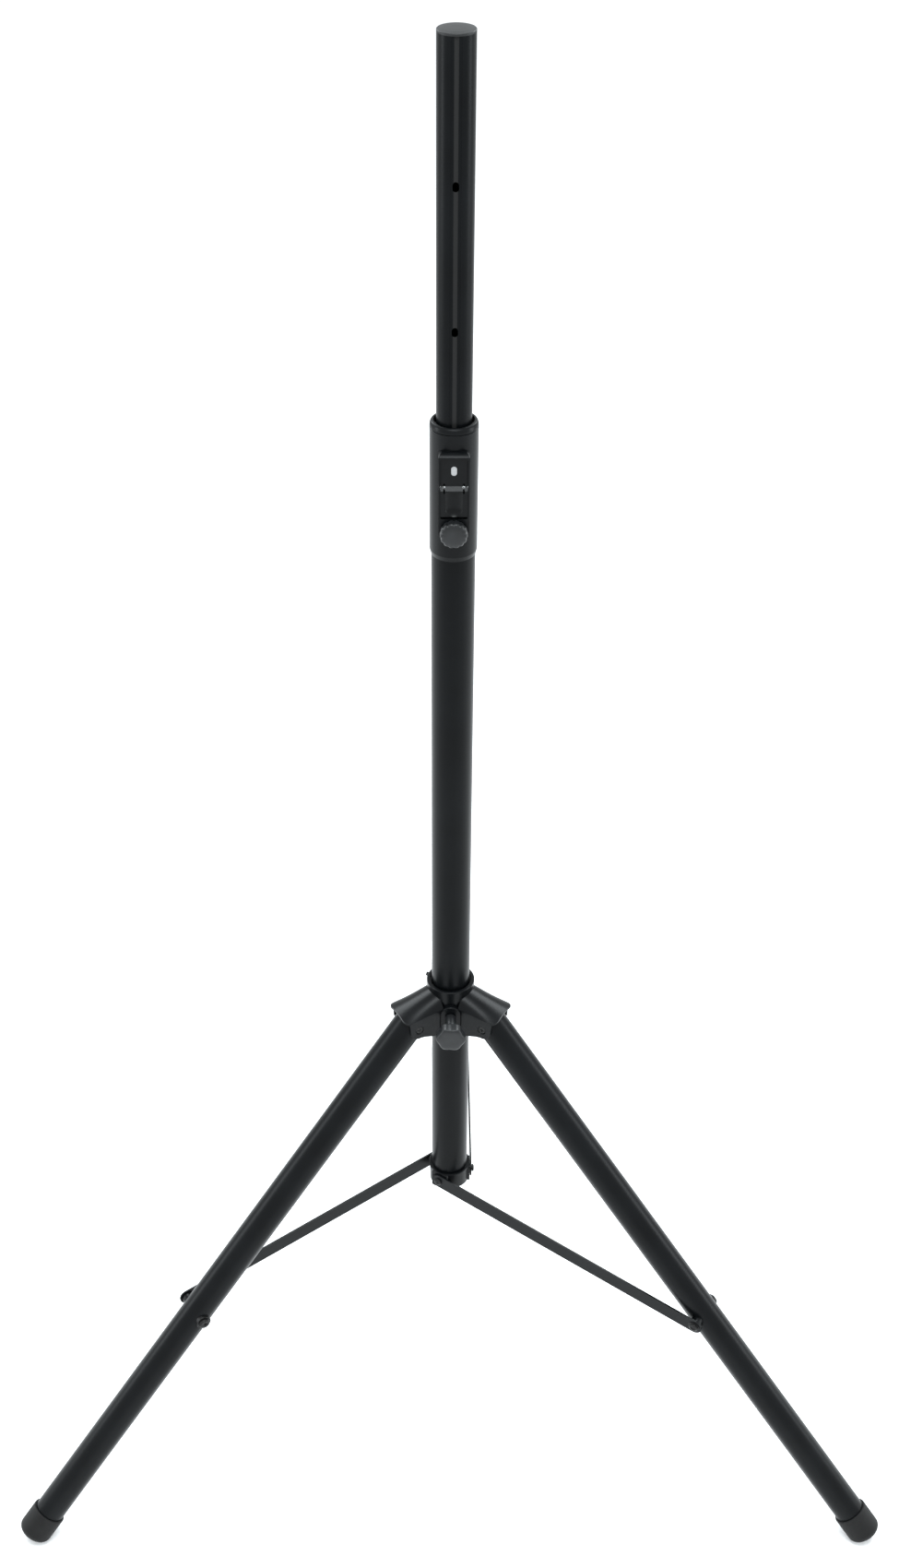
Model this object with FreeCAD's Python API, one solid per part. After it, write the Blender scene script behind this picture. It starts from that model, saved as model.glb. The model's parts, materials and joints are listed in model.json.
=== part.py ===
import FreeCAD, Part
import math
import os

os.makedirs("parts", exist_ok=True)
V = FreeCAD.Vector
X, Y, Z = V(1, 0, 0), V(0, 1, 0), V(0, 0, 1)

# Speaker tripod stand. Millimetres, +Z up, floor at z = 0, pole axis on Z, knobs on the -Y side.
# Each leg, its brace and its hub arm are drawn pointing along +X and then turned about Z.

# Legs by name: direction of each leg about Z, in degrees
LEGS = {"right": -30.0, "left": 210.0, "rear": 90.0}

# Inner pole: the 35 mm pole that the speaker's socket drops over
POLE_R, POLE_WALL = 17.5, 2.6
POLE_BOTTOM, POLE_SEAM, POLE_TOP = 790.0, 1746.9, 1750.0
GROOVE_W, GROOVE_DEPTH = 10.0, 1.1
KEYWAY_W, KEYWAY_DEPTH = 4.0, 1.7
MARK_Z0, MARK_Z1, MARK_DEPTH = 1386.8, 1388.3, 0.5
HOLE_TOP_Z, HOLE_PITCH, HOLE_COUNT = 1620.2, 133.7, 6
HOLE_W, HOLE_H = 5.9, 9.0
FOOT_BUSH_R, FOOT_BUSH_Z0, FOOT_BUSH_Z1 = 20.75, 786.0, 822.0

# Outer column tube and the bushes at its ends
TUBE_R, TUBE_BORE_R = 22.3, 20.8
TUBE_Z0, TUBE_Z1 = 349.0, 1388.0
GUIDE_Z0, GUIDE_Z1 = 1262.0, 1386.0
RUNNING = 0.05

# Clamp collar on top of the column
COLLAR_R, COLLAR_Z0, COLLAR_Z1 = 24.0, 1251.0, 1383.0
CAP_Z1, CAP_OPENING_R = 1393.5, 20.0
BOX_HALF_W, CHEEK, BOX_Z0, BOX_Z1, BOX_Y = 15.1, 1.7, 1277.0, 1371.2, -31.0
POCKET_Z0, POCKET_Z1, POCKET_Y = 1303.0, 1366.8, -23.5

# Lock lever in the collar, its pivot and its pin
LEVER_HALF_W, PIVOT_Y, PIVOT_Z = 13.2, -27.0, 1335.0
PIVOT_PIN_R, LEVER_EYE_R = 2.0, 3.2
PIN_Z, PIN_W, PIN_H, PIN_TIP_Y = 1353.0, 5.6, 9.6, -17.0
SLOT_X0, SLOT_X1 = 8.7, 10.3

# Clamp screw and its knob
CLAMP_Z, CLAMP_KNOB_R, CLAMP_BORE = 1289.3, 13.7, 7.0
STUD_R, STUD_TIP_R = 4.0, 3.0

# Sliding hub and its three arms
HUB_R, HUB_BORE_R, HUB_Z0, HUB_Z1, HUB_BUSH_Z1 = 28.2, 24.5, 610.0, 683.0, 677.0
PLATE_IN, PLATE_OUT, ROOF_HALF_W, ROOF_T, ROOF_END = 19.3, 21.4, 22.6, 2.5, 73.0
LEG_PIVOT_R, LEG_PIVOT_Z = 54.0, 639.3
HUB_KNOB_Z, HUB_KNOB_R, HUB_FACE_Y, HUB_BORE = 649.0, 17.2, -33.0, 33.0
SET_SCREW_TURN = -26.0

# Legs, with feet
LEG_ANGLE = math.radians(41.7)
LEG_R, LEG_WALL, LEG_TOP, LEG_LENGTH = 18.9, 1.5, -12.0, 843.5
FOOT_R, FOOT_L, FOOT_FLOOR = 21.4, 40.0, 14.5
BOLT_R, LEG_BOLT_S = 4.0, 462.9

# Lower bracket and the flat braces
BRACKET_R, BRACKET_LIP_R, BRACKET_Z0, BRACKET_Z1, PAD_T = 25.0, 25.9, 346.0, 372.5, 25.9
BRACE_Z, BRACE_L, BRACE_W = 359.1, 367.8, 20.0
BRACE_T0, BRACE_T1, BRACE_SLOPE = 26.2, 28.3, math.radians(10.27)


def rod(base, axis, radius, length):
    return Part.makeCylinder(radius, length, base, axis)


def ring(base, axis, radius, bore, length):
    return rod(base, axis, radius, length).cut(rod(base, axis, bore, length))


def block(x0, x1, y0, y1, z0, z1):
    return Part.makeBox(x1 - x0, y1 - y0, z1 - z0, V(x0, y0, z0))


def turned(points):
    """Solid of revolution about Z from (radius, height) points."""
    path = [V(r, 0, h) for r, h in points]
    return Part.Face(Part.makePolygon(path + path[:1])).revolve(V(0, 0, 0), Z, 360)


def dome(radius, length, edge):
    """Disc on z = 0 with its far edge rounded."""
    disc = Part.makeCylinder(radius, length)
    rim = [e for e in disc.Edges if abs(e.BoundBox.ZMin - length) < 1e-6 and e.Length > radius]
    return disc.makeFillet(edge, rim)


def aim(shape, base, axis):
    """Moves a shape drawn on the Z axis so that it stands on base along axis."""
    placed = shape.copy()
    placed.Placement = FreeCAD.Placement(base, FreeCAD.Rotation(Z, axis)).multiply(placed.Placement)
    return placed


def prism_y(points, y0, y1):
    """Prism along Y over (x, z) points."""
    path = [V(x, y0, z) for x, z in points]
    return Part.Face(Part.makePolygon(path + path[:1])).extrude(V(0, y1 - y0, 0))


def prism_x(points, x0, x1):
    """Prism along X over (y, z) points."""
    path = [V(x0, y, z) for y, z in points]
    return Part.Face(Part.makePolygon(path + path[:1])).extrude(V(x1 - x0, 0, 0))


def obround_y(width, height, z, y0, y1):
    """Upright slot with round ends, along Y."""
    r, half = width / 2, (height - width) / 2
    body = block(-r, r, y0, y1, z - half, z + half)
    for end in (z - half, z + half):
        body = body.fuse(rod(V(0, y0, end), Y, r, y1 - y0))
    return body.removeSplitter()


def cross_recess(radius, depth):
    """Tapered cross cut down from z = 0."""
    arms = []
    for turn in (0, 90):
        arm = Part.makeBox(2 * radius, 0.9, depth, V(-radius, -0.45, -depth))
        arm.rotate(V(0, 0, 0), Z, turn)
        arms.append(arm)
    cone = Part.makeCone(0.3, radius * 0.62, depth, V(0, 0, -depth))
    return arms[0].fuse(arms[1]).fuse(cone)


def pan_head(radius, height):
    """Screw head on z = 0 with a cross recess in its domed top."""
    head = dome(radius, height, height * 0.55)
    recess = cross_recess(radius * 0.6, height * 0.55)
    recess.translate(V(0, 0, height))
    return head.cut(recess)


def to_leg(shape, name):
    turned_shape = shape.copy()
    turned_shape.rotate(V(0, 0, 0), Z, LEGS[name])
    return turned_shape


def on_leg(s, t=0.0):
    """Point s along a leg from its pivot, and t to its brace side."""
    return V(LEG_PIVOT_R + s * math.sin(LEG_ANGLE), -t, LEG_PIVOT_Z - s * math.cos(LEG_ANGLE))


def save(shape, node):
    shape.exportStep("parts/" + node + ".step")


LEG_DIR = V(math.sin(LEG_ANGLE), 0, -math.cos(LEG_ANGLE))
SIDE = V(0, -1, 0)
FRONT = V(0, -1, 0)


# ---- Inner pole -------------------------------------------------------------------------

def inner_tube():
    """Pole with a stepped groove along its front and a ring groove that marks its working height."""
    tube = ring(V(0, 0, POLE_BOTTOM), Z, POLE_R, POLE_R - POLE_WALL, POLE_SEAM - POLE_BOTTOM)
    tube.rotate(V(0, 0, 0), Z, -90)
    tube = tube.cut(ring(V(0, 0, MARK_Z0), Z, POLE_R + 1, POLE_R - MARK_DEPTH, MARK_Z1 - MARK_Z0))
    for width, depth in ((GROOVE_W, GROOVE_DEPTH), (KEYWAY_W, KEYWAY_DEPTH)):
        tube = tube.cut(block(-width / 2, width / 2, -POLE_R - 1, -POLE_R + depth,
                              POLE_BOTTOM - 1, POLE_SEAM + 1))
    for i in range(HOLE_COUNT):
        tube = tube.cut(obround_y(HOLE_W, HOLE_H, HOLE_TOP_Z - i * HOLE_PITCH, -20, -10))
    return tube


def pole_cap():
    plug_r = POLE_R - POLE_WALL
    return turned([(0, POLE_SEAM - 22), (plug_r - 0.8, POLE_SEAM - 22), (plug_r, POLE_SEAM - 20),
                   (plug_r, POLE_SEAM), (POLE_R, POLE_SEAM), (POLE_R, POLE_SEAM + 1.6),
                   (POLE_R - 0.5, POLE_SEAM + 2.1), (12.0, POLE_TOP - 0.25), (6.0, POLE_TOP),
                   (0, POLE_TOP)])


def pole_foot_bush():
    z0, z1 = FOOT_BUSH_Z0, FOOT_BUSH_Z1
    return turned([(12, z0), (FOOT_BUSH_R - 1, z0), (FOOT_BUSH_R, z0 + 1.5), (FOOT_BUSH_R, z1 - 1.5),
                   (FOOT_BUSH_R - 1, z1), (POLE_R, z1), (POLE_R, POLE_BOTTOM), (12, POLE_BOTTOM)])


# ---- Outer column and clamp collar ------------------------------------------------------

def shoe_hole(y0, y1):
    return rod(V(0, y1, CLAMP_Z), FRONT, 5.5 + RUNNING, y1 - y0)


def pin_slot(y0, y1):
    return obround_y(8.0, 14.0, PIN_Z + 0.4, y0, y1)


def outer_tube():
    tube = ring(V(0, 0, TUBE_Z0), Z, TUBE_R, TUBE_BORE_R, TUBE_Z1 - TUBE_Z0)
    return tube.cut(shoe_hole(-26, -10)).cut(pin_slot(-30, -10))


def guide_bush():
    bush = ring(V(0, 0, GUIDE_Z0), Z, TUBE_BORE_R, POLE_R + RUNNING, GUIDE_Z1 - GUIDE_Z0)
    return bush.cut(shoe_hole(-26, -10)).cut(pin_slot(-30, -10))


def collar_box_outline(half_w, z0, z1, r_low, r_top):
    """Rounded upright rectangle as (x, z) points."""
    points = []
    corners = ((half_w - r_low, z0 + r_low, r_low, -90), (half_w - r_top, z1 - r_top, r_top, 0),
               (-half_w + r_top, z1 - r_top, r_top, 90), (-half_w + r_low, z0 + r_low, r_low, 180))
    for cx, cz, r, start in corners:
        for k in range(9):
            a = math.radians(start + k * 11.25)
            points.append((cx + r * math.cos(a), cz + r * math.sin(a)))
    return points


def clamp_collar():
    sleeve = turned([(TUBE_R, COLLAR_Z0), (TUBE_R + 0.4, COLLAR_Z0), (COLLAR_R, COLLAR_Z0 + 5),
                     (COLLAR_R, COLLAR_Z1), (TUBE_R, COLLAR_Z1)])
    box = prism_y(collar_box_outline(BOX_HALF_W, BOX_Z0, BOX_Z1, 12.0, 4.0), BOX_Y, -16)
    box = box.cut(rod(V(0, 0, BOX_Z0 - 5), Z, TUBE_R, BOX_Z1 - BOX_Z0 + 20))
    brow = [(-COLLAR_R, BOX_Z1), (-26.5, BOX_Z1 - 0.2), (-28.7, BOX_Z1 - 0.9), (-30.0, BOX_Z1 - 1.8),
            (BOX_Y - 1, BOX_Z1 - 4.3), (BOX_Y - 1, BOX_Z1 + 5), (-COLLAR_R, BOX_Z1 + 5)]
    box = box.cut(prism_x(brow, -20, 20))
    collar = sleeve.fuse(box).removeSplitter()
    inner = BOX_HALF_W - CHEEK
    pocket = prism_y(collar_box_outline(inner, POCKET_Z0, POCKET_Z1, 1.5, 2.8), BOX_Y - 1, POCKET_Y)
    collar = collar.cut(pocket).cut(pin_slot(-30, -15))
    collar = collar.cut(shoe_hole(-26, -15))
    collar = collar.cut(rod(V(0, -20, CLAMP_Z), FRONT, STUD_R + RUNNING, 15))
    return collar.cut(rod(V(-20, PIVOT_Y, PIVOT_Z), X, PIVOT_PIN_R, 40))


def collar_cap():
    z0, z1 = COLLAR_Z1, CAP_Z1
    shoulder = [(COLLAR_R, z0), (COLLAR_R, z0 + 3.6), (COLLAR_R - 0.7, z0 + 4.1), (COLLAR_R, z0 + 4.6)]
    for k in range(7):
        a = math.radians(k * 15)
        shoulder.append((COLLAR_R - 3 + 3 * math.cos(a), z1 - 5.4 + 5.4 * math.sin(a)))
    return turned([(TUBE_R, z0)] + shoulder + [(CAP_OPENING_R, z1), (CAP_OPENING_R, TUBE_Z1),
                                               (TUBE_R, TUBE_Z1)])


def lever_spring():
    """Two coils on the lever's pivot, each with a tail that rests on the collar."""
    parts = []
    for side in (-1, 1):
        x0 = side * (SLOT_X0 + SLOT_X1) / 2 - 0.32
        helix = Part.makeHelix(0.64, 0.64, 2.75)
        profile = Part.Wire(Part.makeCircle(0.28, V(2.75, 0, 0), V(0, 1, 0)))
        coil = Part.Wire(helix).makePipeShell([profile], True, True)
        coil = aim(coil, V(x0, PIVOT_Y, PIVOT_Z), X)
        tail_base = V(side * (SLOT_X0 + SLOT_X1) / 2, PIVOT_Y + 2.75, PIVOT_Z + 0.4)
        tail = rod(tail_base, V(0, 0.06, -1), 0.28, 7.0)
        parts.append(coil.fuse(tail))
    return Part.makeCompound(parts)


def lower_bracket():
    z0, z1 = BRACKET_Z0, BRACKET_Z1
    body = turned([(TUBE_R, z0), (BRACKET_R - 1, z0), (BRACKET_R, z0 + 1), (BRACKET_R, z1 - 3.2),
                   (BRACKET_LIP_R, z1 - 2.4), (BRACKET_LIP_R, z1 - 0.6), (BRACKET_LIP_R - 0.6, z1),
                   (TUBE_R + 0.9, z1), (TUBE_R + 0.9, z1 - 1.5), (TUBE_R, z1 - 1.5)])
    for name in LEGS:
        pad = block(-11, 11, -PAD_T, -15, z0 + 0.5, z1 - 0.5)
        pad = pad.makeFillet(2.5, [e for e in pad.Edges if e.BoundBox.YLength > 5])
        body = body.fuse(to_leg(pad.cut(rod(V(0, 0, z0 - 1), Z, TUBE_R, 30)), name))
    body = body.removeSplitter()
    for name in LEGS:
        body = body.cut(to_leg(rod(V(0, -20, BRACE_Z), SIDE, 3.0, 10), name))
    return body


def column_end_plug():
    return turned([(0, TUBE_Z0 - 3), (TUBE_R - 0.7, TUBE_Z0 - 3), (TUBE_R, TUBE_Z0 - 2),
                   (TUBE_R, TUBE_Z0), (TUBE_BORE_R, TUBE_Z0), (TUBE_BORE_R, TUBE_Z0 + 24),
                   (TUBE_BORE_R - 2.5, TUBE_Z0 + 24), (TUBE_BORE_R - 2.5, TUBE_Z0 + 2),
                   (0, TUBE_Z0 + 2)])


def bracket_screw():
    shank = rod(V(0, -TUBE_R - 0.4, BRACE_Z), SIDE, 3.0, BRACE_T1 + 0.4 - TUBE_R - 0.4)
    head = aim(pan_head(4.75, 2.8), V(0, -BRACE_T1 - 0.4, BRACE_Z), SIDE)
    return shank.fuse(head)


# ---- Lock lever -------------------------------------------------------------------------

def lock_lever():
    top = POCKET_Z1 - 0.6
    profile = [(-28.3, top), (-25.5, top), (-25.5, PIVOT_Z + 4), (-23.9, PIVOT_Z + 1),
               (-23.9, PIVOT_Z - 1), (-25.5, PIVOT_Z - 4), (-27.2, PIVOT_Z - 8), (-27.2, 1304.5),
               (-30.5, 1304.5), (-31.5, 1305.7), (-31.5, 1333.2), (-28.3, 1336.9)]
    lever = prism_x(profile, -LEVER_HALF_W, LEVER_HALF_W)
    corners = [e for e in lever.Edges if e.BoundBox.YLength > 2 and e.BoundBox.ZMin > top - 0.5]
    lever = lever.makeFillet(2.6, corners)
    scoop = Part.makeSphere(12.0, V(0, -40.0, 1314.1)).fuse(rod(V(0, -40.0, 1314.1), Z, 12.0, 17.4))
    lever = lever.cut(scoop)
    for side in (-1, 1):
        x0, x1 = sorted((side * SLOT_X0, side * SLOT_X1))
        lever = lever.cut(block(x0, x1, -33, -20, PIVOT_Z - 4.6, PIVOT_Z + 4.6))
    lever = lever.cut(rod(V(-20, PIVOT_Y, PIVOT_Z), X, PIVOT_PIN_R + RUNNING, 40))
    return lever.cut(obround_y(PIN_W, PIN_H, PIN_Z, -32, -22))


def lock_pin():
    head = obround_y(PIN_W, PIN_H, PIN_Z, -28.7, -20.5)
    tip = obround_y(5.0, 8.2, PIN_Z, -20.5, PIN_TIP_Y)
    return head.fuse(tip)


# ---- Clamp screws -----------------------------------------------------------------------

def shoe(radius, tip_y, back_y, z):
    """Pad that the screw pushes, with a socket for the screw's end."""
    pad = rod(V(0, back_y, z), Y, radius, tip_y - back_y)
    return pad.cut(rod(V(0, back_y, z), Y, STUD_TIP_R + RUNNING, 3.0))


def stud(back_y, end_y, z):
    """Screw whose stepped end turns in the shoe's socket."""
    tip = rod(V(0, back_y - 0.3, z), Y, STUD_TIP_R, 3.0)
    return tip.fuse(rod(V(0, back_y - 0.3, z), FRONT, STUD_R, back_y - 0.3 - end_y))


def clamp_knob():
    r, length = CLAMP_KNOB_R, 10.8
    profile = [(STUD_R, 0), (r - 1.2, 0), (r, 1.0), (r, 4.2)]
    for k in range(1, 8):
        a = math.radians(k * 11.25)
        profile.append((r - 4.6 + 4.6 * math.cos(a), 4.2 + 5.4 * math.sin(a)))
    profile += [(7.6, length - 0.7), (4.4, length), (0, length), (0, CLAMP_BORE), (STUD_R, CLAMP_BORE)]
    body = turned(profile)
    for k in range(14):
        a = math.radians(k * 360 / 14)
        body = body.cut(rod(V((r + 1.0) * math.cos(a), (r + 1.0) * math.sin(a), -1), Z, 1.7, 20))
    return aim(body, V(0, BOX_Y - 0.4, CLAMP_Z), FRONT)


def hub_knob():
    r, stem, face = HUB_KNOB_R, 26.6, 40.6
    profile = [(STUD_R, 0), (6.5, 0), (6.5, stem - 1.5), (13.5, stem - 0.8), (r, stem + 2.4),
               (r, stem + 8.4)]
    for k in range(1, 7):
        a = math.radians(k * 13)
        profile.append((r - 5 + 5 * math.cos(a), stem + 8.4 + 5 * math.sin(a)))
    profile += [(9.0, face), (0, face), (0, HUB_BORE), (STUD_R, HUB_BORE)]
    body = turned(profile)
    for k in range(6):
        a = math.radians(k * 60 + 20)
        body = body.cut(rod(V((r + 6.4) * math.cos(a), (r + 6.4) * math.sin(a), stem - 2), Z, 8.2, 20))
    return aim(body, V(0, HUB_FACE_Y - 0.4, HUB_KNOB_Z), FRONT)


# ---- Sliding hub ------------------------------------------------------------------------

def arch_solid(drop):
    """Everything under an arched roof that narrows and falls away from the column."""
    wires = []
    for r, crest, edge in ((23.0, 675.8, 660.2), (81.0, 658.1, 654.2)):
        half, low = ROOF_HALF_W, 590.0
        arc = Part.Arc(V(r, -half, edge - drop), V(r, 0, crest - drop), V(r, half, edge - drop)).toShape()
        sides = Part.makePolygon([V(r, half, edge - drop), V(r, half, low), V(r, -half, low),
                                  V(r, -half, edge - drop)])
        wires.append(Part.Wire(Part.__sortEdges__([arc] + sides.Edges)))
    return Part.makeLoft(wires, True, True)


def rounded_plan(length, half, radius):
    """Tall prism over a plan with two rounded far corners."""
    body = block(20.0, length, -half, half, 590, 700)
    return body.makeFillet(radius, [e for e in body.Edges
                                    if e.BoundBox.ZLength > 50 and e.BoundBox.XMin > length - 1])


def hub_arm():
    side = [(20.0, 616.5), (30.8, 620.6), (45.9, 626.0)]
    for k in range(7):
        a = math.radians(-100 + k * 15)
        side.append((LEG_PIVOT_R + 12.2 * math.cos(a), LEG_PIVOT_Z + 12.2 * math.sin(a)))
    side += [(66.9, 648.5), (67.9, 655.5), (67.9, 690), (20.0, 690)]
    body = prism_y(side, -PLATE_OUT, PLATE_OUT).common(arch_solid(0.8))
    inner = arch_solid(ROOF_T)
    roof = arch_solid(0.0).cut(inner).common(rounded_plan(ROOF_END, ROOF_HALF_W, 9.0))
    slot = block(31.2, 90, -PLATE_IN, PLATE_IN, 600, 690).common(inner)
    arm = body.cut(slot).fuse(roof)
    for way in (-1, 1):
        base = V(LEG_PIVOT_R, way * PLATE_IN, LEG_PIVOT_Z)
        arm = arm.cut(Part.makeCone(3.9, 5.5, PLATE_OUT - PLATE_IN, base, V(0, way, 0)))
    return arm


def hub_casting():
    z0, z1 = HUB_Z0, HUB_Z1
    body = turned([(10, z0), (HUB_R - 1, z0), (HUB_R, z0 + 1), (HUB_R, z1 - 1), (HUB_R - 1, z1), (10, z1)])
    boss = block(-12, 12, HUB_FACE_Y, -15, 626, 652).fuse(rod(V(0, -15, 652), FRONT, 12, -HUB_FACE_Y - 15))
    boss = boss.removeSplitter()
    rim = [e for e in boss.Edges if e.BoundBox.YLength < 1e-6 and e.BoundBox.YMin < HUB_FACE_Y + 1]
    body = body.fuse(boss.makeFillet(1.4, rim))
    for name in LEGS:
        body = body.fuse(to_leg(hub_arm(), name))
    body = body.cut(rod(V(0, 0, z0 - 1), Z, HUB_BORE_R, z1 - z0 + 2))
    body = body.cut(rod(V(0, -15, HUB_KNOB_Z), FRONT, 6.0 + RUNNING, 15.0))
    body = body.cut(rod(V(0, -25, HUB_KNOB_Z), FRONT, STUD_R + RUNNING, 20.0))
    set_screw_hole = rod(V(-20, 0, 677.5), V(-1, 0, 0), 2.5, 10)
    set_screw_hole.rotate(V(0, 0, 0), Z, SET_SCREW_TURN)
    return body.cut(set_screw_hole)


def hub_bush():
    bush = ring(V(0, 0, HUB_Z0), Z, HUB_BORE_R, TUBE_R + RUNNING, HUB_BUSH_Z1 - 3 - HUB_Z0)
    return bush.cut(rod(V(0, -15, HUB_KNOB_Z), FRONT, 6.0 + RUNNING, 15.0))


def hub_top_ring():
    return ring(V(0, 0, HUB_BUSH_Z1 - 3), Z, HUB_BORE_R, TUBE_R + 0.4, 3.0)


def hub_set_screw():
    body = rod(V(-TUBE_R - 2.3, 0, 677.5), V(-1, 0, 0), 2.5, 6.9)
    socket = Part.Face(Part.makePolygon([V(-TUBE_R - 9.5, 1.3 * math.cos(math.radians(60 * k)),
                                          677.5 + 1.3 * math.sin(math.radians(60 * k)))
                                         for k in range(7)])).extrude(V(2.5, 0, 0))
    screw = body.cut(socket)
    screw.rotate(V(0, 0, 0), Z, SET_SCREW_TURN)
    return screw


def leg_pivot_pin():
    length = 2 * (PLATE_IN - 0.1)
    return ring(V(LEG_PIVOT_R, length / 2, LEG_PIVOT_Z), SIDE, BOLT_R, 2.0, length)


def leg_pivot_screws():
    parts = []
    for way in (-1, 1):
        axis = V(0, way, 0)
        base = V(LEG_PIVOT_R, way * (PLATE_IN - 0.1), LEG_PIVOT_Z)
        head = Part.makeCone(3.5, 4.3, 1.2, base, axis)
        recess = aim(cross_recess(2.8, 1.0), V(LEG_PIVOT_R, way * (PLATE_IN + 1.1), LEG_PIVOT_Z), axis)
        parts.append(head.fuse(rod(base, V(0, -way, 0), 2.0, 9.0)).cut(recess))
    return Part.makeCompound(parts)


# ---- Legs and braces --------------------------------------------------------------------

def leg_tube():
    start, end = LEG_TOP + 2.0, LEG_LENGTH - FOOT_FLOOR
    tube = ring(on_leg(start), LEG_DIR, LEG_R, LEG_R - LEG_WALL, end - start)
    tube = tube.cut(rod(on_leg(0, -30), SIDE, BOLT_R + RUNNING, 60))
    return tube.cut(rod(on_leg(LEG_BOLT_S, -30), SIDE, BOLT_R, 60))


def leg_plug():
    body = turned([(0, LEG_TOP), (LEG_R - 1, LEG_TOP), (LEG_R, LEG_TOP + 1), (LEG_R, LEG_TOP + 2),
                   (LEG_R - LEG_WALL, LEG_TOP + 2), (LEG_R - LEG_WALL, 18), (LEG_R - LEG_WALL - 3, 18),
                   (LEG_R - LEG_WALL - 3, 9), (0, 9)])
    return aim(body, on_leg(0), LEG_DIR).cut(rod(on_leg(0, -30), SIDE, BOLT_R + RUNNING, 60))


def foot_cap():
    top, end = LEG_LENGTH - FOOT_L, LEG_LENGTH
    edge = 9.0
    profile = [(LEG_R, top), (FOOT_R - 0.9, top), (FOOT_R, top + 0.9), (FOOT_R, end - edge)]
    for k in range(1, 9):
        a = math.radians(k * 11.25)
        profile.append((FOOT_R - edge + edge * math.cos(a), end - edge + edge * math.sin(a)))
    profile += [(0, end), (0, end - FOOT_FLOOR), (LEG_R, end - FOOT_FLOOR)]
    cap = aim(turned(profile), on_leg(0), LEG_DIR)
    return cap.cut(block(400, 900, -60, 60, -60, 0))


def brace_spacer():
    body = ring(on_leg(LEG_BOLT_S, 12.0), SIDE, 7.6, BOLT_R, 25.8 - 12.0)
    return body.cut(rod(on_leg(LEG_BOLT_S - 40), LEG_DIR, LEG_R, 80))


def brace_bolt():
    """Bolt through the leg, with a saddle washer under its head."""
    away, seat = V(0, 1, 0), LEG_R + 2.4
    shank = rod(on_leg(LEG_BOLT_S, -seat), SIDE, BOLT_R, 25.6 + seat)
    saddle = rod(on_leg(LEG_BOLT_S, -12.0), away, 9.2, seat - 12.0)
    saddle = saddle.cut(rod(on_leg(LEG_BOLT_S - 40), LEG_DIR, LEG_R, 80))
    head = aim(pan_head(6.8, 3.6), on_leg(LEG_BOLT_S, -seat), away)
    return shank.fuse(saddle).fuse(head)


def brace_bar():
    thick = BRACE_T1 - BRACE_T0
    bar = block(0, BRACE_L, -BRACE_T1, -BRACE_T0, -BRACE_W / 2, BRACE_W / 2)
    for x, hole in ((0, 3.0 + RUNNING), (BRACE_L, BOLT_R)):
        bar = bar.fuse(rod(V(x, -BRACE_T0, 0), SIDE, BRACE_W / 2, thick))
    bar = bar.removeSplitter()
    for x, hole in ((0, 3.0 + RUNNING), (BRACE_L, BOLT_R)):
        bar = bar.cut(rod(V(x, -BRACE_T0 + 1, 0), SIDE, hole, thick + 2))
    bar.rotate(V(0, 0, 0), Y, math.degrees(BRACE_SLOPE))
    bar.translate(V(0, 0, BRACE_Z))
    return bar


def brace_screw():
    end = V(BRACE_L * math.cos(BRACE_SLOPE), 0, BRACE_Z - BRACE_L * math.sin(BRACE_SLOPE))
    shank = rod(end + V(0, -BRACE_T0, 0), SIDE, BOLT_R, 2.4)
    washer = rod(end + V(0, -BRACE_T1, 0), SIDE, 7.4, 0.9)
    head = aim(pan_head(5.6, 2.6), end + V(0, -BRACE_T1 - 0.9, 0), SIDE)
    return shank.fuse(washer).fuse(head)


single = {
    "inner_tube": inner_tube, "pole_cap": pole_cap, "pole_foot_bush": pole_foot_bush,
    "outer_tube": outer_tube, "guide_bush": guide_bush, "clamp_collar": clamp_collar,
    "collar_cap": collar_cap, "lever_spring": lever_spring, "lower_bracket": lower_bracket,
    "column_end_plug": column_end_plug, "lock_lever": lock_lever, "lock_pin": lock_pin,
    "clamp_knob": clamp_knob, "hub_knob": hub_knob, "hub_casting": hub_casting,
    "hub_bush": hub_bush, "hub_top_ring": hub_top_ring, "hub_set_screw": hub_set_screw,
}
per_leg = {
    "bracket_screw": bracket_screw, "leg_pivot_pin": leg_pivot_pin,
    "leg_pivot_screws": leg_pivot_screws, "leg_tube": leg_tube, "leg_plug": leg_plug,
    "foot_cap": foot_cap, "brace_spacer": brace_spacer, "brace_bolt": brace_bolt,
    "brace_bar": brace_bar, "brace_screw": brace_screw,
}

for node, make in single.items():
    save(make(), node)
for node, make in per_leg.items():
    shape = make()
    for name in LEGS:
        save(to_leg(shape, name), node + "_" + name)

save(rod(V(-BOX_HALF_W, PIVOT_Y, PIVOT_Z), X, PIVOT_PIN_R, 2 * BOX_HALF_W), "lever_pivot_pin")
save(shoe(5.5, -17.9, -23.0, CLAMP_Z), "clamp_shoe")
save(stud(-23.0, BOX_Y - 0.4 - CLAMP_BORE, CLAMP_Z), "clamp_stud")
save(shoe(6.0, -TUBE_R - 0.4, -27.0, HUB_KNOB_Z), "hub_shoe")
save(stud(-27.0, HUB_FACE_Y - 0.4 - HUB_BORE, HUB_KNOB_Z), "hub_stud")
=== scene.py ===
# %% [markdown]
# # Speaker tripod stand
#
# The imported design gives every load-bearing part at its true size and place. This notebook keeps
# those parts where they are, gives each one its finish, and makes again the pieces whose shape
# follows a rule: the two grips, the screw heads and the lever's spring. Lengths are in metres.

# %% Load the design
import json
import math

import bmesh
import bpy
from mathutils import Matrix, Vector


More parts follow.
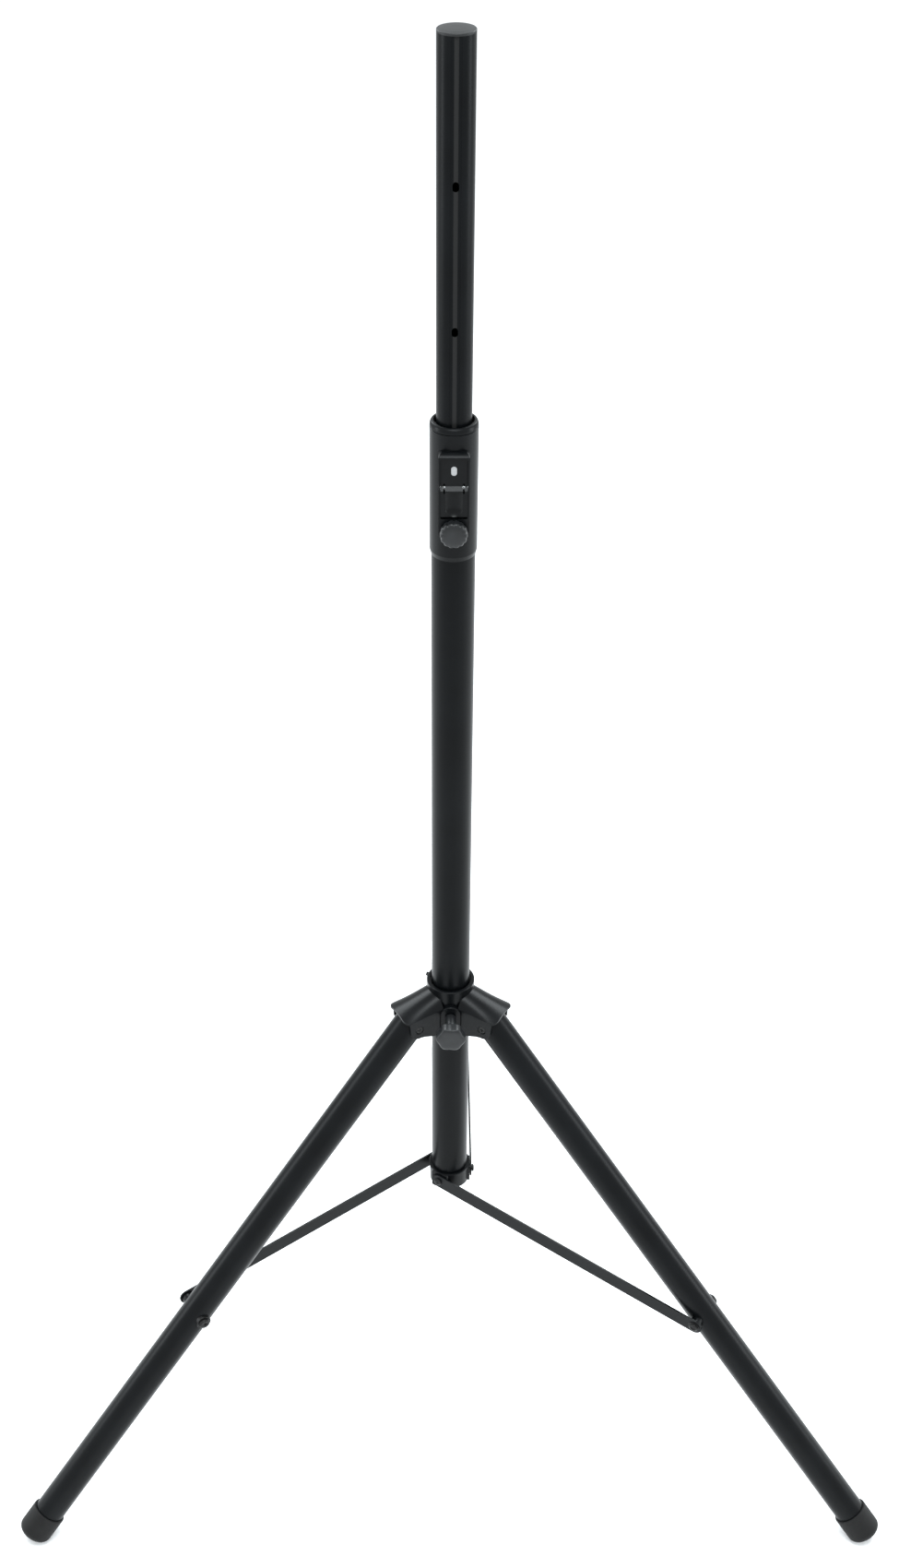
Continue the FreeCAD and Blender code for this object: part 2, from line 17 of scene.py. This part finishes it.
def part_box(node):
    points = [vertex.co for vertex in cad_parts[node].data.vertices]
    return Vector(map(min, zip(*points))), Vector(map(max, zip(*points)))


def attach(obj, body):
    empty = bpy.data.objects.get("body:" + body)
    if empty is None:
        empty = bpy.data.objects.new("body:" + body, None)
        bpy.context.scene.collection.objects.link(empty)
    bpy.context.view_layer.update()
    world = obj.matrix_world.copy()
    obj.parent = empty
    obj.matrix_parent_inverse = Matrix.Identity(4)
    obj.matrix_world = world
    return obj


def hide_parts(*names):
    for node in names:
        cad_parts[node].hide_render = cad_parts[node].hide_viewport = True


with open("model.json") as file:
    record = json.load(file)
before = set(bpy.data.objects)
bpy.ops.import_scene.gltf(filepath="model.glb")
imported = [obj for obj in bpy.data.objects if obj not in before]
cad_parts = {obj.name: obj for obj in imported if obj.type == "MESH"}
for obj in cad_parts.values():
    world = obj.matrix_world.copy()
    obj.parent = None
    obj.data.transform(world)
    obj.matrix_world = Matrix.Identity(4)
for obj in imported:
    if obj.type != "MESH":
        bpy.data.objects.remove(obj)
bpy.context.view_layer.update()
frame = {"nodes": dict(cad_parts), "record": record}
nodes = frame["nodes"]
record = frame["record"]
MM = 0.001
LEG_TURN = {"right": -30.0, "left": 210.0, "rear": 90.0}

# %% [markdown]
# ## Expressions instead of loose nodes
#
# Node trees can be drawn by hand, but a page of links is hard to read. Here a socket is wrapped so
# that sums on it are written as sums, and one method makes every other kind of node. The same two
# classes serve finishes and Geometry Nodes.

# %% Wires and graphs


class Wire:
    """A node's output that takes part in Python expressions."""

    def __init__(self, graph, socket):
        self.graph = graph
        self.socket = socket

    def calc(self, operation, *others):
        return self.graph.node("ShaderNodeMath", {"operation": operation}, [self, *others])

    def swapped(self, operation, other):
        return self.graph.node("ShaderNodeMath", {"operation": operation}, [other, self])

    def __add__(self, other):
        return self.calc("ADD", other)

    __radd__ = __add__

    def __sub__(self, other):
        return self.calc("SUBTRACT", other)

    def __rsub__(self, other):
        return self.swapped("SUBTRACT", other)

    def __mul__(self, other):
        return self.calc("MULTIPLY", other)

    __rmul__ = __mul__

    def __pow__(self, other):
        return self.calc("POWER", other)

    def __abs__(self):
        return self.calc("ABSOLUTE")

    def above(self, level):
        return self.calc("GREATER_THAN", level)

    def at_least(self, level):
        return self.calc("MAXIMUM", level)

    def cos(self):
        return self.calc("COSINE")

    def sin(self):
        return self.calc("SINE")


class Graph:
    """A node tree that is filled in by one method."""

    def __init__(self, tree):
        self.tree = tree

    def node(self, kind, settings=None, inputs=None, out=0):
        made = self.tree.nodes.new(kind)
        for key, value in (settings or {}).items():
            if key == "stops":
                for stop, (place, level) in zip(made.color_ramp.elements, value):
                    stop.position = place
                    stop.color = (level, level, level, 1.0)
            else:
                setattr(made, key, value)
        given = enumerate(inputs) if isinstance(inputs, (list, tuple)) else (inputs or {}).items()
        for key, value in given:
            if isinstance(value, Wire):
                self.tree.links.new(value.socket, made.inputs[key])
            else:
                made.inputs[key].default_value = value
        return Wire(self, made.outputs[out]) if made.outputs else None

    def vector(self, x, y, z):
        return self.node("ShaderNodeCombineXYZ", None, [x, y, z])

    def parts_of(self, vector):
        apart = self.tree.nodes.new("ShaderNodeSeparateXYZ")
        self.tree.links.new(vector.socket, apart.inputs[0])
        return [Wire(self, socket) for socket in apart.outputs]


print("wires ready")

# %% [markdown]
# ## Finishes
#
# Nearly the whole stand is black, so its looks come from how each black shines. Paint baked on steel
# has a faint orange-peel skin and a broad soft highlight. Moulded grips are duller with a fine
# spark texture, rubber is dullest of all, and blackened screws show a little metal. Each finish
# mixes two close tones by a slow cloud, and carries its skin in a bump.

# %% Finish maker
KEYWAY_BACK = 14.0 * MM      # how far in front of the pole's axis the painted keyway highlight starts
POLE_FRONT = 17.0 * MM       # and where it ends, just under the pole's skin
KEYWAY_HALF_WIDTH = 2.1 * MM
KEYWAY_HIGHLIGHT_STREAKS = 900.0          # streaks per metre across the painted keyway highlight
GLOSS_FLOOR = 0.05


def finish(name, tones, roughness, skin_mm, skin_depth_mm, metallic=0.0, shine=0.5, cloud_mm=60.0,
           spread=0.08, keyway_highlight=0.0):
    """A surface finish with two tones, a varying gloss, a fine skin and a painted highlight along the
    keyway.
    """
    material = bpy.data.materials.new(name)
    material.use_nodes = True
    tree = material.node_tree
    tree.nodes.clear()
    g = Graph(tree)
    place = g.node("ShaderNodeTexCoord", out=3)
    cloud = g.node("ShaderNodeTexNoise", None,
                   {"Vector": place, "Scale": 1.0 / (cloud_mm * MM), "Detail": 3.0, "Roughness": 0.55})
    skin = g.node("ShaderNodeTexNoise", None,
                  {"Vector": place, "Scale": 1.0 / (skin_mm * MM), "Detail": 2.0, "Roughness": 0.6})
    patch = g.node("ShaderNodeValToRGB", {"stops": [(0.35, 0.0), (0.68, 1.0)]}, {"Fac": cloud})
    tone = g.node("ShaderNodeMix", {"data_type": "RGBA"},
                  {0: patch, 6: (*tones[0], 1.0), 7: (*tones[1], 1.0)}, out=2)
    # Painted highlight: a lighter streaked stripe along the keyway, where the groove catches light.
    if keyway_highlight:
        x, y, _ = g.parts_of(place)
        inside = (y * -1.0).above(KEYWAY_BACK) * (y + POLE_FRONT).above(0.0)
        streak = g.node("ShaderNodeTexNoise", None,
                        {"Vector": g.vector(x * KEYWAY_HIGHLIGHT_STREAKS, 0.0, 0.0), "Scale": 1.0, "Detail": 2.0})
        highlight_mask = inside * (KEYWAY_HALF_WIDTH - abs(x)).above(0.0) * (streak * 0.5 + 0.5)
        tone = g.node("ShaderNodeMix", {"data_type": "RGBA"},
                      {0: highlight_mask, 6: tone, 7: (*grey(keyway_highlight), 1.0)}, out=2)
    gloss = (roughness + (cloud - 0.5) * spread + (skin - 0.5) * (spread * 0.5)).at_least(GLOSS_FLOOR)
    bump = g.node("ShaderNodeBump", None,
                  {"Strength": 1.0, "Distance": skin_depth_mm * MM, "Height": skin})
    surface = g.node("ShaderNodeBsdfPrincipled", None,
                     {"Base Color": tone, "Roughness": gloss, "Normal": bump, "Metallic": metallic,
                      "Specular IOR Level": shine})
    g.node("ShaderNodeOutputMaterial", None, {"Surface": surface})
    return material


def grey(value, cool=0.0):
    return (value, value * (1 + cool * 0.5), value * (1 + cool))


FINISHES = {
    # The pole's paint carries the painted highlight along its keyway.
    "pole_paint": finish("pole_paint", (grey(0.0022, 0.4), grey(0.0034, 0.4)), 0.30, 1.3, 0.012,
                         shine=0.08, keyway_highlight=0.022),
    "leg_paint": finish("leg_paint", (grey(0.0026, 0.4), grey(0.0040, 0.4)), 0.32, 1.3, 0.014,
                        shine=0.12),
    "cast_paint": finish("cast_paint", (grey(0.0022, 0.4), grey(0.0034, 0.4)), 0.30, 1.0, 0.02,
                         shine=0.13, cloud_mm=30),
    "cap_plastic": finish("cap_plastic", (grey(0.012, 0.1), grey(0.017, 0.1)), 0.5, 0.5, 0.012,
                          shine=0.25, cloud_mm=20),
    "knob_plastic": finish("knob_plastic", (grey(0.0080, 0.2), grey(0.0120, 0.2)), 0.36, 0.45, 0.015,
                           shine=0.32, cloud_mm=12),
    "lever_plastic": finish("lever_plastic", (grey(0.0022, 0.3), grey(0.0034, 0.3)), 0.30, 0.45, 0.012,
                            shine=0.14, cloud_mm=12),
    "bush_plastic": finish("bush_plastic", (grey(0.010), grey(0.014)), 0.5, 0.6, 0.01,
                           shine=0.2, cloud_mm=20),
    "foot_rubber": finish("foot_rubber", (grey(0.0045), grey(0.0080)), 0.6, 0.7, 0.03,
                          shine=0.2, cloud_mm=14, spread=0.12),
    "black_screw": finish("black_screw", (grey(0.010), grey(0.026)), 0.34, 0.3, 0.005, metallic=0.6,
                          shine=0.3, cloud_mm=3),
    "zinc": finish("zinc", (grey(0.34, 0.03), grey(0.46, 0.03)), 0.3, 0.25, 0.004, metallic=1.0,
                   cloud_mm=3),
    "brass": finish("brass", ((0.45, 0.33, 0.13), (0.56, 0.42, 0.18)), 0.3, 0.4, 0.004,
                    metallic=1.0, cloud_mm=4),
}
print("finishes", sorted(FINISHES))

# %% [markdown]
# ## Dressing the parts that stay
#
# The record names one finish slot for each part. The part's own mesh is left alone and only its
# material changes, so the design and the picture can never drift apart.

# %% Dress the design's parts
SLOT_OF = {part["node"]: part["material_slot"] for part in record["subparts"]}
for name, part in nodes.items():
    part.data.materials.clear()
    part.data.materials.append(FINISHES[SLOT_OF[name]])
print("dressed", len(nodes), "parts")

# %% [markdown]
# ## Making pieces by rule
#
# A lathe in a workshop turns a profile about an axis. Geometry Nodes do the same: a flat grid is
# rolled up, one side of the grid running around the axis and the other along it, and a rule gives
# the radius and the height at each point. A flute or a lobe is then only a wave in that radius.

# %% Tools for pieces made by rule


def rule_tree(name, sizes):
    """An empty Geometry Nodes tree with named sizes, and wires from those sizes."""
    tree = bpy.data.node_groups.new(name, "GeometryNodeTree")
    tree.interface.new_socket("Geometry", in_out="OUTPUT", socket_type="NodeSocketGeometry")
    for label, value in sizes.items():
        kind = "NodeSocketInt" if isinstance(value, int) else "NodeSocketFloat"
        tree.interface.new_socket(label, in_out="INPUT", socket_type=kind)
    g = Graph(tree)
    entry = tree.nodes.new("NodeGroupInput")
    return g, {label: Wire(g, entry.outputs[label]) for label in sizes}


def rolled(g, around, along, radius_rule, height_rule):
    """A grid rolled about Z: rules give radius(angle, v) and height(v) for v from 0 to 1."""
    sheet = g.node("GeometryNodeMeshGrid", None,
                   {"Size X": 1.0, "Size Y": 1.0, "Vertices X": around, "Vertices Y": along})
    x, y, _ = g.parts_of(g.node("GeometryNodeInputPosition"))
    angle, v = (x + 0.5) * math.tau, y + 0.5
    radius = radius_rule(angle, v)
    place = g.vector(radius * angle.cos(), radius * angle.sin(), height_rule(v))
    shaped = g.node("GeometryNodeSetPosition", None, {"Geometry": sheet, "Position": place})
    return g.node("GeometryNodeMergeByDistance", None, {"Geometry": shaped, "Distance": 2e-6})


def finish_tree(g, shape, material):
    real = g.node("GeometryNodeRealizeInstances", None, {"Geometry": shape})
    painted = g.node("GeometryNodeSetMaterial", None, {"Geometry": real, "Material": material})
    g.node("NodeGroupOutput", None, {"Geometry": painted})


def outward(mesh, smooth_deg=35.0):
    """Points every face outwards and shades smooth except over sharp edges."""
    bm = bmesh.new()
    bm.from_mesh(mesh)
    bmesh.ops.remove_doubles(bm, verts=bm.verts, dist=1e-6)
    bmesh.ops.dissolve_degenerate(bm, edges=bm.edges, dist=1e-7)
    bmesh.ops.recalc_face_normals(bm, faces=bm.faces)
    bm.to_mesh(mesh)
    bm.free()
    mesh.shade_smooth()
    mesh.set_sharp_from_angle(angle=math.radians(smooth_deg))


def make(name, tree, sizes, place, body, stands_for):
    """Runs a rule, keeps the result as a plain mesh in place, and hands it to its body."""
    piece = bpy.data.objects.new(name, bpy.data.meshes.new(name + "_seed"))
    bpy.context.scene.collection.objects.link(piece)
    rule = piece.modifiers.new("rule", "NODES")
    rule.node_group = tree
    for item in tree.interface.items_tree:
        if item.in_out == "INPUT":
            rule[item.identifier] = sizes[item.name]
    graph = bpy.context.evaluated_depsgraph_get()
    mesh = bpy.data.meshes.new_from_object(piece.evaluated_get(graph))
    piece.modifiers.clear()
    piece.data = mesh
    mesh.name = name
    mesh.transform(place)
    outward(mesh)
    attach(piece, body)
    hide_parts(*stands_for)
    print(name, len(mesh.polygons), "faces")


def aimed(base, axis):
    """Places a piece drawn up the Z axis so that it stands on base and points along axis."""
    return Matrix.Translation(base) @ Vector(axis).to_track_quat("Z", "X").to_matrix().to_4x4()


def middle(node):
    low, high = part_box(node)
    return (Vector(low) + Vector(high)) / 2


print("tools ready")

# %% [markdown]
# ## The two grips
#
# The small clamp knob is a fluted button with a domed face. The hub's lock knob is larger, with
# broad lobes that fill the hand. Both are the same rule with other numbers: a rounded-off drum whose
# radius dips where a finger goes.

# %% Grip rule
GRIP_GRID = (169, 49)        # points around and along
RIM_FADE = 0.6               # how soon the dips fade out towards the ends
GRIP_SIZES = {"Radius": 0.0137, "Length": 0.0108, "Dips": 14, "Dip depth": 0.06,
              "Dip sharpness": 2.0, "Start": 0.0, "Back": 0.2, "Face": 0.5}


def grip_tree(name, material):
    g, size = rule_tree(name, GRIP_SIZES)

    def rounding(v):
        """How square the drum's ends are: a low power keeps them square."""
        return size["Back"] + v.above(0.5) * (size["Face"] - size["Back"])

    def radius(angle, v):
        swell = (v * math.pi).sin().at_least(0.0) ** rounding(v)
        wave = ((angle * size["Dips"] + size["Start"]).cos() * 0.5 + 0.5) ** size["Dip sharpness"]
        rim = ((v * math.pi).sin().at_least(0.0)) ** RIM_FADE
        return size["Radius"] * swell * (1.0 - wave * size["Dip depth"] * rim)

    def height(v):
        lean = (v * math.pi).cos()
        sign = 1.0 - lean.above(0.0) * 2.0
        return size["Length"] * (0.5 + sign * (abs(lean) ** rounding(v)) * 0.5)

    drum = rolled(g, *GRIP_GRID, radius, height)
    finish_tree(g, drum, material)
    return g.tree


grip = grip_tree("grip_rule", FINISHES["knob_plastic"])


def grip_piece(name, node, body, **changes):
    """A grip that fills the front part of its design node."""
    low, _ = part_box(node)
    centre = middle(node)
    sizes = dict(GRIP_SIZES, **{key.replace("_", " "): value for key, value in changes.items()})
    base = Vector((centre.x, low[1] + sizes["Length"], centre.z))
    make(name, grip, sizes, aimed(base, (0, -1, 0)), body, [node])


grip_piece("clamp_grip", "clamp_knob", "clamp_knob_body")

# %% [markdown]
# The lock knob also has a round stem, which keeps it clear of the hub. The stem is a plain rod with a
# rounded end, run by the same rule with no dips, and joined to the lobed head.

# %% Lock knob
LOCK_HEAD = {"Radius": 0.0172, "Length": 0.0142, "Dips": 6, "Dip depth": 0.10,
             "Dip sharpness": 1.2, "Start": 0.35, "Back": 0.22, "Face": 0.34}
low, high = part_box("hub_knob")
knob_axis = middle("hub_knob")
head_base = Vector((knob_axis.x, low[1] + LOCK_HEAD["Length"], knob_axis.z))
make("lock_grip", grip, LOCK_HEAD, aimed(head_base, (0, -1, 0)), "hub_knob_body",
     ["hub_knob"])
STEM = {"Radius": 0.0065, "Length": high[1] - head_base.y + 0.004, "Dips": 6, "Dip depth": 0.0,
        "Dip sharpness": 1.0, "Start": 0.0, "Back": 0.1, "Face": 0.1}
make("lock_stem", grip, STEM, aimed((knob_axis.x, high[1], knob_axis.z), (0, -1, 0)),
     "hub_knob_body", ["hub_knob"])

# %% [markdown]
# ## Cross-head screws
#
# The screws on the braces are all alike: a domed black head over a washer, with a cross pressed into
# it. One rule rolls up the dome, adds washer and shank, cuts the cross, stands the screw in its place
# beside a leg, and copies it round the pole. Sizes come from the design's own parts.

# %% Screw rule
SCREW_GRID = (49, 37)        # points around and along the head
HEAD_SQUARENESS = 0.42       # low powers give steep sides and a flat crown
CROWN_SQUARENESS = 0.75
CROSS_LENGTH, CROSS_WIDTH = 1.15, 0.21   # as shares of the head's radius
SCREW_SIZES = {"Radius": 0.0, "Height": 0.0, "Washer radius": 0.0, "Washer height": 0.0,
               "Shank radius": 0.0, "Shank depth": 0.0, "Out": 0.0, "Side": 0.0, "Up": 0.0,
               "Count": 1, "First turn": 0.0}


def joined(g, shapes, operation):
    """Boolean of several shapes; the first is kept by a difference."""
    links = g.tree.links
    made = g.node("GeometryNodeMeshBoolean", {"operation": operation, "solver": "EXACT"})
    entry = made.socket.node.inputs
    if operation == "DIFFERENCE":
        links.new(shapes[0].socket, entry["Mesh 1"])
        shapes = shapes[1:]
    for shape in shapes:
        links.new(shape.socket, entry["Mesh 2"])
    return made


def upright_rod(g, radius, start, end):
    """Closed rod about Z between two heights."""
    body = g.node("GeometryNodeMeshCylinder", None,
                  {"Vertices": 40, "Radius": radius, "Depth": end - start})
    return g.node("GeometryNodeTransform", None,
                  {"Geometry": body, "Translation": g.vector(0.0, 0.0, (start + end) * 0.5)})


def screw_tree(name, material):
    g, size = rule_tree(name, SCREW_SIZES)
    top = size["Washer height"] + size["Height"]

    def radius(angle, v):
        return size["Radius"] * (v * math.pi).sin().at_least(0.0) ** HEAD_SQUARENESS

    def height(v):
        lean = (v * math.pi).cos() * -1.0
        sign = lean.above(0.0) * 2.0 - 1.0
        dome = (sign * abs(lean) ** CROWN_SQUARENESS).at_least(-0.02)
        return size["Washer height"] + size["Height"] * dome

    head = rolled(g, *SCREW_GRID, radius, height)
    washer = upright_rod(g, size["Washer radius"], 0.0, size["Washer height"])
    shank = upright_rod(g, size["Shank radius"], size["Shank depth"] * -1.0, size["Washer height"])
    cross = []
    for turn in (0.0, math.pi / 2):
        bar = g.node("GeometryNodeMeshCube", None,
                     {"Size": g.vector(size["Radius"] * CROSS_LENGTH,
                                       size["Radius"] * CROSS_WIDTH, size["Height"])})
        cross.append(g.node("GeometryNodeTransform", None,
                            {"Geometry": bar, "Translation": g.vector(0.0, 0.0, top),
                             "Rotation": (0.0, 0.0, turn)}))
    solid = joined(g, [head, washer, shank], "UNION")
    cut = joined(g, [solid, *cross], "DIFFERENCE")
    stood = g.node("GeometryNodeTransform", None,
                   {"Geometry": cut, "Rotation": (math.pi / 2, 0.0, 0.0),
                    "Translation": g.vector(size["Out"], size["Side"] * -1.0, size["Up"])})
    spots = g.node("GeometryNodeMeshLine", None, {"Count": size["Count"], "Offset": (0, 0, 0)})
    round_pole = g.node("GeometryNodeInputIndex") * (math.tau / 3) + size["First turn"]
    copies = g.node("GeometryNodeInstanceOnPoints", None,
                    {"Points": spots, "Instance": stood, "Rotation": g.vector(0.0, 0.0, round_pole)})
    finish_tree(g, copies, material)
    return g.tree


screw = screw_tree("screw_rule", FINISHES["black_screw"])
IDENTITY = Matrix.Identity(4)


def leg_spot(node, leg):
    """Middle of a node seen with its leg along +X, and how far it reaches to the brace side."""
    back = Matrix.Rotation(-math.radians(LEG_TURN[leg]), 4, "Z")
    corners = [back @ vertex.co for vertex in nodes[node].data.vertices]
    reach = [-corner.y for corner in corners]
    middle_x = (min(c.x for c in corners) + max(c.x for c in corners)) / 2
    middle_z = (min(c.z for c in corners) + max(c.z for c in corners)) / 2
    return middle_x, middle_z, min(reach), max(reach)


def screws(name, body, stands_for, leg, **sizes):
    given = dict(SCREW_SIZES, **{key.replace("_", " "): value for key, value in sizes.items()})
    out, up, start, end = leg_spot(stands_for[0], leg)
    seat = end - given["Height"] - given["Washer height"]
    given.update({"Out": out, "Up": up, "Side": seat, "Shank depth": seat - start})
    given["First turn"] = math.radians(LEG_TURN[leg])
    make(name, screw, given, IDENTITY, body, stands_for)


BRACKET_SCREWS = ["bracket_screw_" + leg for leg in ("right", "rear", "left")]
screws("bracket_screw_set", "outer_column", BRACKET_SCREWS, "right", Count=3,
       Radius=4.75 * MM, Height=2.8 * MM, Washer_radius=4.2 * MM,
       Washer_height=0.1 * MM, Shank_radius=3.0 * MM)
for leg in LEG_TURN:
    screws("brace_screw_head_" + leg, "brace_" + leg, ["brace_screw_" + leg], leg,
           Radius=5.6 * MM, Height=2.6 * MM, Washer_radius=7.4 * MM, Washer_height=0.9 * MM,
           Shank_radius=4.0 * MM)

# %% [markdown]
# ## The lever's spring
#
# Two small coils of wire sit in the slots of the lock lever and push its lower end out. A spiral
# curve gives the coil, a straight curve the tail that rests on the collar, and both are swept with
# the wire's round section.

# %% Spring rule
SPRING_SIZES = {"Wire": 0.28 * MM, "Coil radius": 2.75 * MM, "Turns": 2.0, "Width": 0.62 * MM,
                "Tail": 7.0 * MM, "Spread": 9.5 * MM}


def spring_tree(name, material):
    g, size = rule_tree(name, SPRING_SIZES)
    coil = g.node("GeometryNodeCurveSpiral", None,
                  {"Resolution": 40, "Rotations": size["Turns"], "Start Radius": size["Coil radius"],
                   "End Radius": size["Coil radius"], "Height": size["Width"]})
    tail = g.node("GeometryNodeCurvePrimitiveLine", None,
                  {"Start": g.vector(size["Coil radius"], 0.0, size["Width"]),
                   "End": g.vector(size["Coil radius"], size["Tail"], size["Width"])})
    section = g.node("GeometryNodeCurvePrimitiveCircle", None,
                     {"Resolution": 12, "Radius": size["Wire"]})
    swept = []
    for curve in (coil, tail):
        swept.append(g.node("GeometryNodeCurveToMesh", None,
                            {"Curve": curve, "Profile Curve": section, "Fill Caps": True}))
    both = g.node("GeometryNodeJoinGeometry")
    for wire in reversed(swept):
        g.tree.links.new(wire.socket, both.socket.node.inputs["Geometry"])
    spots = g.node("GeometryNodeMeshLine", {"mode": "END_POINTS"},
                   {"Count": 2, "Start Location": g.vector(0.0, 0.0, size["Spread"] * -1.0),
                    "Offset": g.vector(0.0, 0.0, size["Spread"])})
    copies = g.node("GeometryNodeInstanceOnPoints", None, {"Points": spots, "Instance": both})
    finish_tree(g, copies, material)
    return g.tree


pivot = middle("lever_pivot_pin")
# The coil's own Z axis is turned to lie along the pin, which runs across the collar.
turned = Matrix(((0, 0, 1, 0), (1, 0, 0, 0), (0, -1, 0, 0), (0, 0, 0, 1)))
centred = Matrix.Translation(pivot - Vector((SPRING_SIZES["Width"] / 2, 0, 0))) @ turned
make("lever_spring_wire", spring_tree("spring_rule", FINISHES["black_screw"]), SPRING_SIZES, centred,
     "outer_column", ["lever_spring"])

# %% [markdown]
# ## The floor
#
# The feet rest on a wide white floor. It belongs to the stage, not to the stand, and is so large
# that its edges never show.

# %% Floor
FLOOR_HALF = 30.0
FLOOR_WHITE = 0.95
floor_mesh = bpy.data.meshes.new("studio_floor")
corners = [(-FLOOR_HALF, -FLOOR_HALF, 0), (FLOOR_HALF, -FLOOR_HALF, 0),
           (FLOOR_HALF, FLOOR_HALF, 0), (-FLOOR_HALF, FLOOR_HALF, 0)]
floor_mesh.from_pydata(corners, [], [(0, 1, 2, 3)])
floor = bpy.data.objects.new("studio_floor", floor_mesh)
bpy.context.scene.collection.objects.link(floor)
pale = bpy.data.materials.new("studio_white")
pale.use_nodes = True
paint = pale.node_tree.nodes["Principled BSDF"]
paint.inputs["Base Color"].default_value = (FLOOR_WHITE, FLOOR_WHITE, FLOOR_WHITE, 1.0)
paint.inputs["Roughness"].default_value = 0.9
floor_mesh.materials.append(pale)
print("floor", 2 * FLOOR_HALF, "m wide")

# %% [markdown]
# ## Light
#
# A black object on white is shown by what it reflects, so the room is a bright even white. Five soft
# panels draw its highlights: two behind and two beside the stand run along the edges of the tubes,
# and one high in front lights the collar and the hub.

# %% Light
ROOM_COLOUR = (0.97, 1.0, 1.015, 1.0)
ROOM_STRENGTH = 1.12
PANEL_COLOUR = (0.94, 1.0, 1.03)
scene = bpy.context.scene
world = bpy.data.worlds.new("white_room")
scene.world = world
world.use_nodes = True
world.node_tree.nodes["Background"].inputs["Color"].default_value = ROOM_COLOUR
world.node_tree.nodes["Background"].inputs["Strength"].default_value = ROOM_STRENGTH


def panel(name, place, aim, size, power):
    """A soft rectangular light: place and aim in metres, size across and along, power in watts."""
    light = bpy.data.lights.new(name, "AREA")
    light.shape = "RECTANGLE"
    light.size, light.size_y = size
    light.energy = power
    light.color = PANEL_COLOUR
    lamp = bpy.data.objects.new(name, light)
    scene.collection.objects.link(lamp)
    lamp.location = place
    lamp.rotation_euler = (Vector(aim) - Vector(place)).to_track_quat("-Z", "Y").to_euler()


panel("back_panel_right", (1.25, 1.7, 3.0), (0.1, 0, 0.7), (0.7, 1.6), 50)
panel("back_panel_left", (-1.25, 1.7, 3.0), (-0.1, 0, 0.7), (0.7, 1.6), 50)
panel("side_panel_right", (2.9, -0.2, 1.5), (0, 0, 0.8), (0.8, 2.2), 30)
panel("side_panel_left", (-2.9, -0.2, 1.5), (0, 0, 0.8), (0.8, 2.2), 30)
panel("brow_panel", (0.0, -1.3, 3.6), (0, 0, 1.2), (1.6, 0.8), 60)

# %% [markdown]
# ## Camera
#
# The camera stands above the pole's top, close in front of the stand, and looks down. The lens is
# shifted so that the whole stand fits the frame from there.

# %% Camera
LENS_MM, SENSOR_MM = 46.205, 36.0
LENS_SHIFT = (0.00889, 0.0882)
CAMERA_PLACE = (-0.017814, -1.795589, 2.24904)
CAMERA_DOWN_DEG = 39.521
lens_data = bpy.data.cameras.new("viewpoint")
lens_data.lens = LENS_MM
lens_data.sensor_width = SENSOR_MM
lens_data.shift_x, lens_data.shift_y = LENS_SHIFT
camera = bpy.data.objects.new("viewpoint", lens_data)
scene.collection.objects.link(camera)
camera.location = CAMERA_PLACE
camera.rotation_euler = (math.radians(90 - CAMERA_DOWN_DEG), 0.0, 0.0)
scene.camera = camera
scene.view_settings.view_transform = "Standard"
print("camera at", CAMERA_PLACE, "looking down", CAMERA_DOWN_DEG, "degrees")
